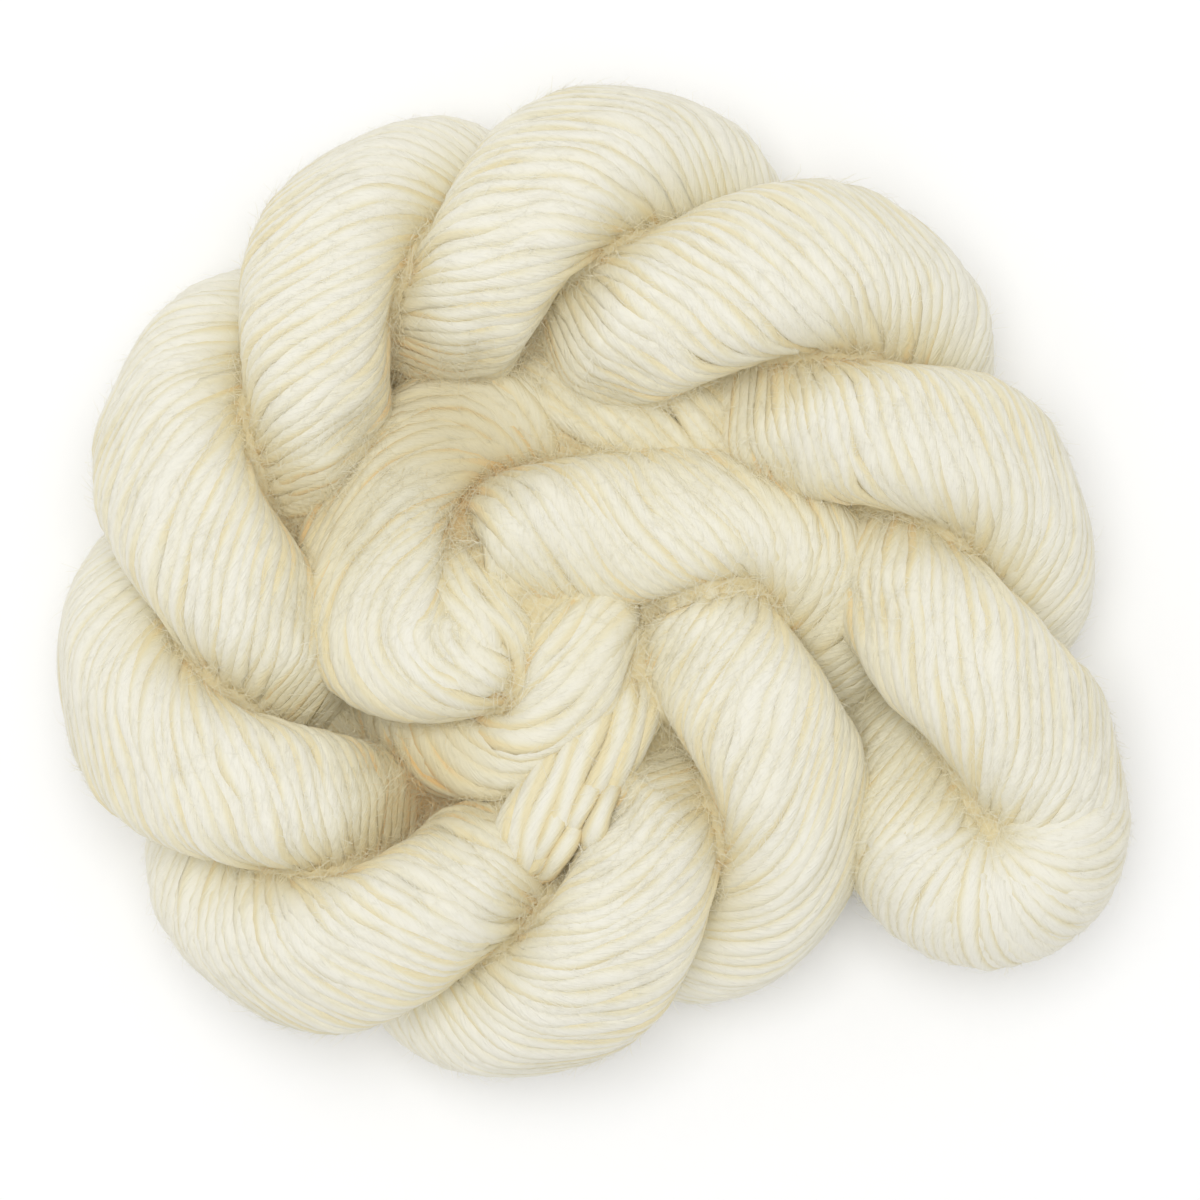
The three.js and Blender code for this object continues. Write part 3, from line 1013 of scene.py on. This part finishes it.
def ribbons(start, ahead, up, length, rise, curl, shade, half_width):
    """A ribbon for each start. It rises by `rise` of its length and sinks again, curls to one
    side, and tapers."""
    t = np.linspace(0, 1, FIBRE_STEPS + 1)[:, None, None]
    sideways = unit(np.cross(ahead, up))
    path = start + length * (ahead * t + up * rise * t * (1.5 - t) * 2)
    path = path + length * sideways * curl * t * t
    across = unit(np.cross(unit(np.gradient(path, axis=0)), up))
    across = across * half_width * (ROOT_WIDTH - TAPER * t)
    points = settled(np.stack([path - across, path + across], axis=2).transpose(1, 0, 2, 3))
    grid = np.arange(points.size // 3).reshape(points.shape[:3])
    faces = np.stack([grid[:, :-1, 0], grid[:, :-1, 1], grid[:, 1:, 1], grid[:, 1:, 0]], axis=-1)
    per_fibre = (FIBRE_STEPS + 1) * 2
    return {
        "points": points.reshape(-1, 3),
        "faces": faces.reshape(-1, 4),
        "caps": NO_FACES,
        "uv": NO_UV,
        "tone": np.repeat(random.random(len(start)), per_fibre),
        "shade": np.repeat(shade, per_fibre),
        "valley_shade": np.zeros(len(start) * per_fibre),
    }


# %% Fibres on the strands
SHORTEST = 1.0  # mm
FROM_MIDDLE, ABOVE_MIDDLE = 0.8, (0.4, 0.7)  # mm sideways and up, where on a strand they start
TURNED_OFF, CURL = 0.7, 0.3  # how much they turn off the strand's way, and curl on average
ON_STRAND_SHADE = 0.8  # the share of a strand's painted shade that a fibre on it has


def add_strand_fibres(name, count, longest, lift):
    strand, ring = random.integers(0, STRANDS, 2 * count), random.integers(1, RINGS - 1, 2 * count)
    keep = np.flatnonzero(random.random(2 * count) < room[ring, strand])[:count]
    strand, ring = strand[keep], ring[keep]
    n = (len(strand), 1)
    up = outward[strand, ring]
    along = unit(paths[strand, ring + 1] - paths[strand, ring - 1]) * random.choice([-1.0, 1.0], n)
    across = np.cross(along, up)
    start = paths[strand, ring] + across * random.uniform(-FROM_MIDDLE, FROM_MIDDLE, n)
    start = start + up * random.uniform(*ABOVE_MIDDLE, n)
    ahead = unit(along + across * random.normal(0, TURNED_OFF, n))
    length = random.uniform(SHORTEST, longest, n)
    rise = random.uniform(0.0, lift, n)
    curl = random.normal(0, CURL, n)
    shade = shade_of(start) * ON_STRAND_SHADE
    fuzz = ribbons(start, ahead, up, length, rise, curl, shade, FIBRE_HALF_WIDTH)
    add_piece(name, fuzz, loose_wool)


add_strand_fibres("lying_fibres", 38000, 3.0, 0.15)
add_strand_fibres("standing_fibres", 46000, 3.0, 0.3)

# %% Where the seams' fibres lie
SEAM_FIBRES = 49000
SEAM_PULL = 2.0  # the higher it is, the more of them lie where the wool is deepest
UNDERSIDE = 6.0  # mm above the table, below which no seam is seen
NEAR_BY = 0.6  # mm, how far to look for the way out

in_sight = ground_points[:, 2] > UNDERSIDE
pull = in_sight * np.clip(shade_of(ground_points), 0, None) ** SEAM_PULL
print("Felt that stays in sight:", round(100 * in_sight.mean()), "% of the ground")


def way_out(points):
    """The way from deep wool towards less and less of it."""
    steps = NEAR_BY * np.eye(3)
    before = [wool_near(points - step, seam_map) for step in steps]
    after = [wool_near(points + step, seam_map) for step in steps]
    return unit(np.stack(before, axis=-1) - np.stack(after, axis=-1))


# %% Fibres that fill the seams
SEAM_FUZZ, SUNK_IN = 1.6, 0.1  # mm, how far out of the felt they go, and how far into it
SCATTER = 0.3  # mm
LONGEST = 3.5  # mm
SEAM_RISE, SEAM_CURL = (-0.05, 0.2), 0.4
SEAM_TONES = (0.6, 1.9)  # shares of the seam's painted shade; they differ more than strands do


def seam_fibres():
    root = ground_points[random.choice(len(ground_points), SEAM_FIBRES, p=pull / pull.sum())]
    n = (SEAM_FIBRES, 1)
    out = way_out(root)
    root = root + out * (SEAM_FUZZ * random.random(n) ** 1.5 - SUNK_IN)
    root = root + random.normal(0, SCATTER, (SEAM_FIBRES, 3))
    any_way = unit(np.cross(out, random.normal(0, 1, (SEAM_FIBRES, 3))))
    length = random.uniform(SHORTEST, LONGEST, n)
    rise = random.uniform(*SEAM_RISE, n)
    curl = random.normal(0, SEAM_CURL, n)
    shade = shade_of(root) * random.uniform(*SEAM_TONES, SEAM_FIBRES)
    start = root - any_way * length / 2
    return ribbons(start, any_way, out, length, rise, curl, shade, FINE_HALF_WIDTH)


add_piece("seam_fibres", seam_fibres(), loose_wool)

# %% [markdown]
# ## Light, floor and camera
#
# The skein lies on white paper, which is matt and throws some light back into the wool's sides.
# The light is soft and even, from the room and from a softbox overhead, and the camera looks
# straight down. A long lens keeps the coil's sides out of sight.

# %% The stage
FLOOR_SIZE = 2.0  # m
bpy.ops.mesh.primitive_plane_add(size=FLOOR_SIZE)
floor = bpy.context.object
floor.name = "floor"
paper = bpy.data.materials.new("white_paper")
paper.use_nodes = True
paper_inputs = paper.node_tree.nodes["Principled BSDF"].inputs
paper_inputs["Base Color"].default_value = linear("#FDFDFD")
paper_inputs["Roughness"].default_value = 0.9
floor.data.materials.append(paper)
print("The floor is", FLOOR_SIZE, "m wide")

# %% Light
ROOM_LIGHT = 0.7
SOFTBOX_PLACE, SOFTBOX_SIZE, SOFTBOX_WATTS = (-0.1, 0.15, 0.85), 0.6, 3.3  # in m and W

world = bpy.data.worlds.new("soft_room")
bpy.context.scene.world = world
world.use_nodes = True
world.node_tree.nodes["Background"].inputs["Color"].default_value = (1, 1, 1, 1)
world.node_tree.nodes["Background"].inputs["Strength"].default_value = ROOM_LIGHT

softbox_data = bpy.data.lights.new("overhead_softbox", "AREA")
softbox_data.size = SOFTBOX_SIZE
softbox_data.energy = SOFTBOX_WATTS
softbox = bpy.data.objects.new("overhead_softbox", softbox_data)
softbox.location = SOFTBOX_PLACE
x, y, z = SOFTBOX_PLACE  # and it faces the middle of the table
softbox.rotation_euler = (math.atan2(math.hypot(x, y), z), 0, math.atan2(-x, y))
bpy.context.collection.objects.link(softbox)
print("Light:", world.name, "and", softbox.name)

# %% Camera
VIEW_MM = 122.6  # the width that the camera sees, at the height of the coil's widest part
VIEW_CENTRE = (0.66 * MM, -1.79 * MM)
WIDEST_AT = 12 * MM
LENS, SENSOR = 150, 36  # mm

camera_data = bpy.data.cameras.new("camera")
camera_data.lens = LENS
camera_data.sensor_width = SENSOR
camera_data.clip_start = 0.01
camera = bpy.data.objects.new("camera", camera_data)
camera.location = (*VIEW_CENTRE, WIDEST_AT + VIEW_MM * MM * LENS / SENSOR)
bpy.context.collection.objects.link(camera)
bpy.context.scene.camera = camera
bpy.context.scene.view_settings.view_transform = "Standard"
print("The camera is", round(camera.location.z, 2), "m above the table")
